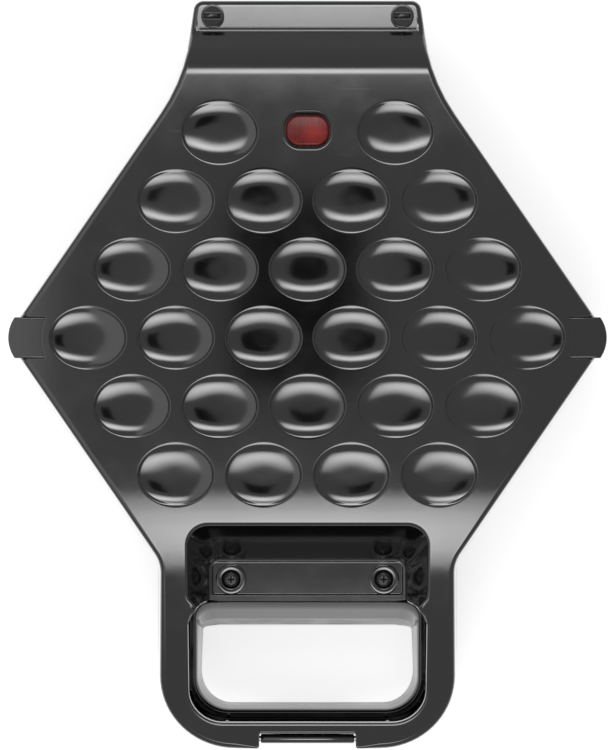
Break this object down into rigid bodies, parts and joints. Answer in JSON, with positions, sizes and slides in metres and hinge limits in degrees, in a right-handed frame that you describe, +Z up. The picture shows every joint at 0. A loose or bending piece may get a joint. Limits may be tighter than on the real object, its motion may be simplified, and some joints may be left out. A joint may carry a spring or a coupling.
{
  "type": "bubble waffle maker",
  "caption": "Hexagonal countertop cooker for bubble waffles, with a dimpled hinged lid, a loop handle and oval cooking cavities.",
  "frame": {"origin": "on the table, below the middle of the closed appliance's outline", "axes": "+Z up, -Y towards the handle, +Y towards the hinge, X across"},
  "size_m": [0.2712, 0.3333, 0.09],
  "materials": {
    "shell_plastic": "glossy black moulded plastic",
    "nonstick_coating": "dark non-stick coating on cast aluminium",
    "sheet_steel": "plain pressed steel",
    "zinc_steel": "zinc plated steel",
    "element_steel": "heat darkened tube",
    "foot_rubber": "matt black rubber",
    "lamp_red": "clear red plastic",
    "lamp_white": "heat-proof white plastic",
    "lamp_glass": "clear glass",
    "black_plastic": "plain black plastic"
  },
  "bodies": {
    "base": {"base_shell": "shell_plastic", "base_feet": "foot_rubber", "lower_cooking_plate": "nonstick_coating", "lower_heating_element": "element_steel", "lower_heat_shield": "sheet_steel", "lower_plate_screws": "zinc_steel", "lower_shield_screws": "zinc_steel", "hinge_rod": "zinc_steel", "rod_retainers": "zinc_steel", "thermostat": "black_plastic", "thermal_fuse": "zinc_steel", "terminal_block": "lamp_white", "cord_entry_bush": "black_plastic"},
    "lid": {"lid_cover": "shell_plastic", "upper_cooking_plate": "nonstick_coating", "upper_heating_element": "element_steel", "upper_heat_shield": "sheet_steel", "upper_shield_screws": "zinc_steel", "upper_plate_screws": "zinc_steel", "lid_hinge_bracket": "sheet_steel", "lid_hinge_screws": "black_plastic", "lid_front_screws": "black_plastic", "pilot_lamp_lens": "lamp_red", "pilot_lamp_holder": "lamp_white", "pilot_lamp_neon": "lamp_glass", "latch_pin": "zinc_steel"},
    "latch": {"latch_clip": "shell_plastic"}
  },
  "joints": [
    {"name": "lid_hinge", "type": "hinge", "parent": "base", "child": "lid", "pos_m": [0, 0.146, 0.0465], "axis": [-1, 0, 0], "range_deg": [0, 95]},
    {"name": "latch_pivot", "type": "hinge", "parent": "lid", "child": "latch", "pos_m": [0, -0.1625, 0.0615], "axis": [-1, 0, 0], "range_deg": [0, 80]}
  ]
}
